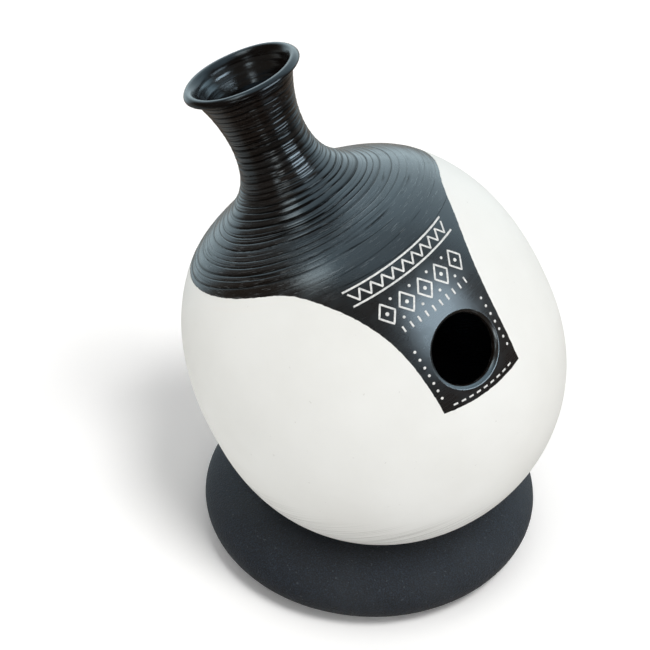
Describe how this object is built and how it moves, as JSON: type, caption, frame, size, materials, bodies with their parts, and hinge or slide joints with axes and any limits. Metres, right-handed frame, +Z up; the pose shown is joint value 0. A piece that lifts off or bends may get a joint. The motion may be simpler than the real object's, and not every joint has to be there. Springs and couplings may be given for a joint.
{
  "type": "udu drum",
  "caption": "Clay pot drum with a flared bent neck and a round side hole, leaning in a soft foam ring; it sounds when a hand strikes the hole or the body.",
  "frame": {"origin": "centre of the foam ring's flat underside, on the surface that the drum stands on", "axes": "+Z up; the pot leans towards -X; the side hole faces +X and -Y"},
  "size_m": [0.2727, 0.26, 0.38],
  "materials": {
    "white_clay": "matte",
    "black_clay": "satin",
    "foam": "matte"
  },
  "bodies": {
    "ring": {"foam_ring": "foam"},
    "pot": {"lower_bowl": "white_clay", "upper_dome": "white_clay", "neck": "black_clay", "mouth_rim": "black_clay", "hole_lip": "black_clay"}
  },
  "joints": [
    {"name": "pot_lift", "type": "slide", "parent": "ring", "child": "pot", "axis": [0, 0, 1], "range_m": [0, 0.06]}
  ]
}
